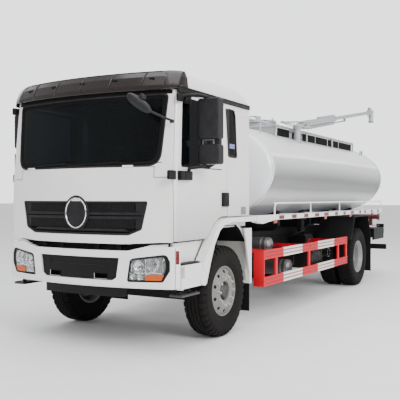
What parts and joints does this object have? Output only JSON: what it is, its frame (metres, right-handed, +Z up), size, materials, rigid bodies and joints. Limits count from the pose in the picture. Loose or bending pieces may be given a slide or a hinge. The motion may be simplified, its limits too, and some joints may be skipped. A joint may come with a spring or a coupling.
{
  "type": "tank truck",
  "caption": "Rigid tank truck with tilting cab, hinged doors and front panel, steered front wheels, elliptical tank, manhole and swinging telescopic loading boom.",
  "frame": {"origin": "on the ground, at the middle of the overall length and width", "axes": "+X is the vehicle's left, +Y points rearward, +Z is up"},
  "size_m": [2.968, 9.1599, 3.5178],
  "materials": {
    "frame_black": "satin",
    "cast_iron": "matte",
    "cab_white": "gloss",
    "black_plastic": "satin",
    "smoked_plastic": "gloss",
    "lamp_glass": "gloss",
    "window_glass": "gloss",
    "seat_fabric": "matte",
    "tank_paint": "gloss",
    "trim_white": "gloss",
    "guard_red": "gloss",
    "tank_alloy": "satin",
    "tyre_rubber": "matte",
    "flap_rubber": "matte",
    "rim_paint": "satin"
  },
  "bodies": {
    "chassis": {"chassis_frame": "frame_black", "engine_block": "cast_iron", "propshaft": "frame_black", "front_axle_beam": "frame_black", "leaf_springs": "frame_black", "rear_axle": "frame_black", "front_bumper": "cab_white", "lower_grille": "black_plastic", "headlamps": "lamp_glass", "underrun_bars": "frame_black", "step_boxes": "cab_white", "step_treads": "black_plastic", "front_mudguards": "cab_white", "mudflaps": "flap_rubber", "tank_shell": "tank_paint", "manhole_neck": "tank_paint", "tank_saddles": "frame_black", "side_catwalks": "trim_white", "top_walkway": "trim_white", "boom_pillar": "tank_paint", "side_guards": "guard_red", "fuel_tank": "tank_alloy", "air_tanks": "tank_alloy", "battery_box": "frame_black", "discharge_pump": "frame_black", "rear_mudguards": "frame_black", "tail_lamps": "frame_black", "rear_ladder": "tank_paint", "rear_cabinet": "frame_black", "gravity_outlet": "tank_alloy"},
    "cab": {"cab_shell": "cab_white", "cab_glazing": "window_glass", "sun_visor": "smoked_plastic", "dashboard": "black_plastic", "seats": "seat_fabric", "front_mirror": "black_plastic"},
    "front_panel": {"front_flap": "cab_white", "grille": "black_plastic"},
    "door_l": {"door_left": "cab_white", "door_glass_left": "window_glass", "mirror_left": "black_plastic"},
    "door_r": {"door_right": "cab_white", "door_glass_right": "window_glass", "mirror_right": "black_plastic"},
    "hand_wheel": {"steering_wheel": "black_plastic"},
    "knuckle_l": {"knuckle_left": "frame_black"},
    "knuckle_r": {"knuckle_right": "frame_black"},
    "track_rod": {"tie_rod": "frame_black"},
    "wheel_fl": {"tyre_front_left": "tyre_rubber", "rim_front_left": "rim_paint"},
    "wheel_fr": {"tyre_front_right": "tyre_rubber", "rim_front_right": "rim_paint"},
    "wheel_rl": {"tyre_rear_left": "tyre_rubber", "rim_rear_left": "rim_paint"},
    "wheel_rr": {"tyre_rear_right": "tyre_rubber", "rim_rear_right": "rim_paint"},
    "lid": {"manhole_lid": "tank_paint"},
    "turret": {"boom_turret": "tank_paint"},
    "boom_outer": {"boom_base": "tank_paint"},
    "boom_inner": {"boom_extension": "tank_paint"}
  },
  "joints": [
    {"name": "cab_tilt", "type": "hinge", "parent": "chassis", "child": "cab", "pos_m": [0, -4.32, 1.04], "axis": [1, 0, 0], "range_deg": [0, 50]},
    {"name": "front_panel_hinge", "type": "hinge", "parent": "cab", "child": "front_panel", "pos_m": [0, -4.455, 1.975], "axis": [-1, 0, 0], "range_deg": [0, 80]},
    {"name": "door_left_hinge", "type": "hinge", "parent": "cab", "child": "door_l", "pos_m": [1.134, -4.243, 1.8], "axis": [0, 0, -1], "range_deg": [0, 68]},
    {"name": "door_right_hinge", "type": "hinge", "parent": "cab", "child": "door_r", "pos_m": [-1.134, -4.243, 1.8], "axis": [0, 0, 1], "range_deg": [0, 68]},
    {"name": "steer_left", "type": "hinge", "parent": "chassis", "child": "knuckle_l", "pos_m": [0.85, -3.1, 0.54], "axis": [0, 0, 1], "range_deg": [-32, 32]},
    {"name": "steer_right", "type": "hinge", "parent": "chassis", "child": "knuckle_r", "pos_m": [-0.85, -3.1, 0.54], "axis": [0, 0, 1], "range_deg": [-32, 32]},
    {"name": "track_rod_pin", "type": "hinge", "parent": "knuckle_l", "child": "track_rod", "pos_m": [0.82, -2.89, 0.425], "axis": [0, 0, 1], "range_deg": [-32, 32]},
    {"name": "hand_wheel_turn", "type": "hinge", "parent": "cab", "child": "hand_wheel", "pos_m": [-0.62, -3.73, 1.99], "axis": [0, 0.4202, 0.9074], "range_deg": [-576, 576]},
    {"name": "spin_front_left", "type": "hinge", "parent": "knuckle_l", "child": "wheel_fl", "pos_m": [1, -3.1, 0.54], "axis": [1, 0, 0], "continuous": true},
    {"name": "spin_front_right", "type": "hinge", "parent": "knuckle_r", "child": "wheel_fr", "pos_m": [-1, -3.1, 0.54], "axis": [1, 0, 0], "continuous": true},
    {"name": "spin_rear_left", "type": "hinge", "parent": "chassis", "child": "wheel_rl", "pos_m": [0.9, 2.233, 0.54], "axis": [1, 0, 0], "continuous": true},
    {"name": "spin_rear_right", "type": "hinge", "parent": "chassis", "child": "wheel_rr", "pos_m": [-0.9, 2.233, 0.54], "axis": [1, 0, 0], "continuous": true},
    {"name": "lid_hinge", "type": "hinge", "parent": "chassis", "child": "lid", "pos_m": [0, 0.622, 2.952], "axis": [-1, 0, 0], "range_deg": [0, 100]},
    {"name": "boom_slew", "type": "hinge", "parent": "chassis", "child": "turret", "pos_m": [0.76, 0.21, 2.812], "axis": [0, 0, 1], "range_deg": [-58, 30]},
    {"name": "boom_lift", "type": "hinge", "parent": "turret", "child": "boom_outer", "pos_m": [0.78302, 0.5392, 2.91], "axis": [0.9976, -0.0698, 0], "range_deg": [-6, 40]},
    {"name": "boom_extend", "type": "slide", "parent": "boom_outer", "child": "boom_inner", "axis": [0.0688, 0.9842, 0.1633], "range_m": [-0.48, 0.1]}
  ],
  "couplings": [
    {"joint": "steer_right", "follows": "steer_left", "ratio": 1},
    {"joint": "track_rod_pin", "follows": "steer_left", "ratio": -1},
    {"joint": "hand_wheel_turn", "follows": "steer_left", "ratio": 18}
  ]
}
